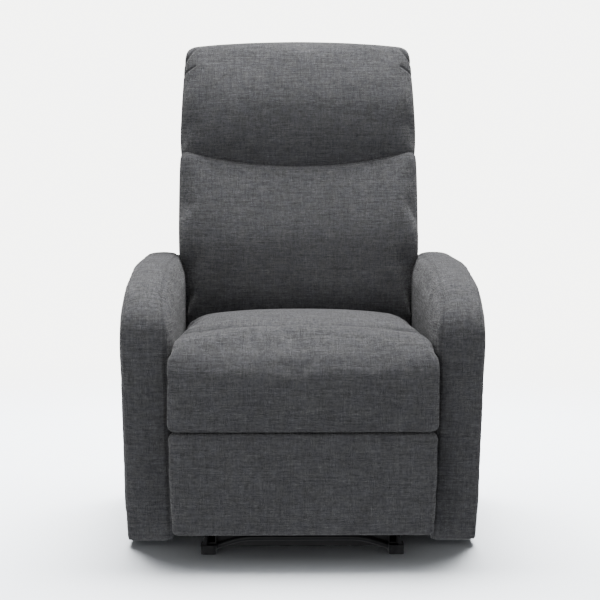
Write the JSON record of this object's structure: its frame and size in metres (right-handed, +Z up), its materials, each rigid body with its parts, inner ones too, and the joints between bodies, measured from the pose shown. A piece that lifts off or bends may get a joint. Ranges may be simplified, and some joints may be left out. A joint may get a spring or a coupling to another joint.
{
  "type": "recliner armchair",
  "caption": "Upholstered push-back recliner armchair with curved arms, a two-cushion leaning back, and a footrest on a folding linkage.",
  "frame": {"origin": "on the floor, under the middle of the chair's plan outline", "axes": "+Z up, +Y to the rear, +X to the right seen from the front; the sitter faces -Y"},
  "size_m": [0.69, 0.8796, 1.0336],
  "materials": {
    "upholstery": "dark grey heathered linen-look weave",
    "lining": "black non-woven lining",
    "wood": "sawn pine",
    "plywood": "plywood with a dark back",
    "black_steel": "satin black powder coat",
    "spring_steel": "oiled spring wire",
    "zinc": "zinc-plated rivets",
    "black_plastic": "matt moulded black"
  },
  "bodies": {
    "base": {"base_front_bar": "black_steel", "base_rear_bar": "black_steel", "base_front_tube": "black_steel", "floor_glides": "black_plastic", "base_rail_left": "black_steel", "base_rail_right": "black_steel", "base_bracket_left": "black_steel", "base_bracket_right": "black_steel"},
    "seat": {"mech_plate_left": "black_steel", "mech_plate_right": "black_steel", "seat_rail_left": "wood", "seat_rail_right": "wood", "seat_rail_front": "wood", "seat_rail_rear": "wood", "seat_springs": "spring_steel", "seat_deck": "lining", "rear_panel": "upholstery", "seat_cushion": "upholstery", "seat_roll": "upholstery", "pivot_pins": "zinc", "arm_inner_cover_left": "upholstery", "arm_inner_cover_right": "upholstery", "arm_outer_cover_left": "upholstery", "arm_outer_cover_right": "upholstery", "arm_ribbon_left": "upholstery", "arm_ribbon_right": "upholstery", "arm_front_post_left": "wood", "arm_front_post_right": "wood", "arm_rear_post_left": "wood", "arm_rear_post_right": "wood", "arm_top_rail_left": "wood", "arm_top_rail_right": "wood", "arm_sill_left": "wood", "arm_sill_right": "wood"},
    "backrest": {"back_bracket_left": "black_steel", "back_bracket_right": "black_steel", "back_post_left": "wood", "back_post_right": "wood", "back_rail_top": "wood", "back_rail_low": "wood", "back_springs": "spring_steel", "lumbar_cushion": "upholstery", "head_cushion": "upholstery", "back_shell": "upholstery"},
    "rear_link": {"rear_link_left": "black_steel", "rear_link_right": "black_steel", "torque_tube": "black_steel", "rear_link_pins": "zinc"},
    "front_link": {"front_link_left": "black_steel", "front_link_right": "black_steel"},
    "outer_link": {"outer_link_left": "black_steel", "outer_link_right": "black_steel", "outer_link_pins": "zinc"},
    "control_link": {"control_link_left": "black_steel", "control_link_right": "black_steel"},
    "footrest": {"footrest_cushion": "upholstery", "footrest_board": "plywood", "footrest_pins": "zinc", "footrest_bracket_left": "black_steel", "footrest_bracket_right": "black_steel"}
  },
  "joints": [
    {"name": "seat_tilt", "type": "hinge", "parent": "base", "child": "seat", "pos_m": [0, 0.2, 0.11], "axis": [-1, 0, 0], "range_deg": [0, 5]},
    {"name": "back_recline", "type": "hinge", "parent": "seat", "child": "backrest", "pos_m": [0, 0.2, 0.3], "axis": [-1, 0, 0], "range_deg": [0, 45]},
    {"name": "footrest_open", "type": "hinge", "parent": "seat", "child": "rear_link", "pos_m": [0, -0.2484, 0.239], "axis": [-1, 0, 0], "range_deg": [0, 90]},
    {"name": "front_link_pivot", "type": "hinge", "parent": "seat", "child": "front_link", "pos_m": [0, -0.32762, 0.25013], "axis": [-1, 0, 0], "range_deg": [0, 90]},
    {"name": "outer_link_pivot", "type": "hinge", "parent": "rear_link", "child": "outer_link", "pos_m": [0, -0.2128, 0.03711], "axis": [-1, 0, 0], "range_deg": [-90, 0]},
    {"name": "control_link_pivot", "type": "hinge", "parent": "rear_link", "child": "control_link", "pos_m": [0, -0.2201, 0.07848], "axis": [-1, 0, 0], "range_deg": [-90, 0]},
    {"name": "footrest_pivot", "type": "hinge", "parent": "outer_link", "child": "footrest", "pos_m": [0, -0.366, 0.198], "axis": [-1, 0, 0], "range_deg": [0, 90]}
  ],
  "couplings": [
    {"joint": "seat_tilt", "follows": "back_recline", "ratio": 0.11111},
    {"joint": "front_link_pivot", "follows": "footrest_open", "ratio": 1},
    {"joint": "outer_link_pivot", "follows": "footrest_open", "ratio": -1},
    {"joint": "control_link_pivot", "follows": "footrest_open", "ratio": -1},
    {"joint": "footrest_pivot", "follows": "footrest_open", "ratio": 1}
  ]
}
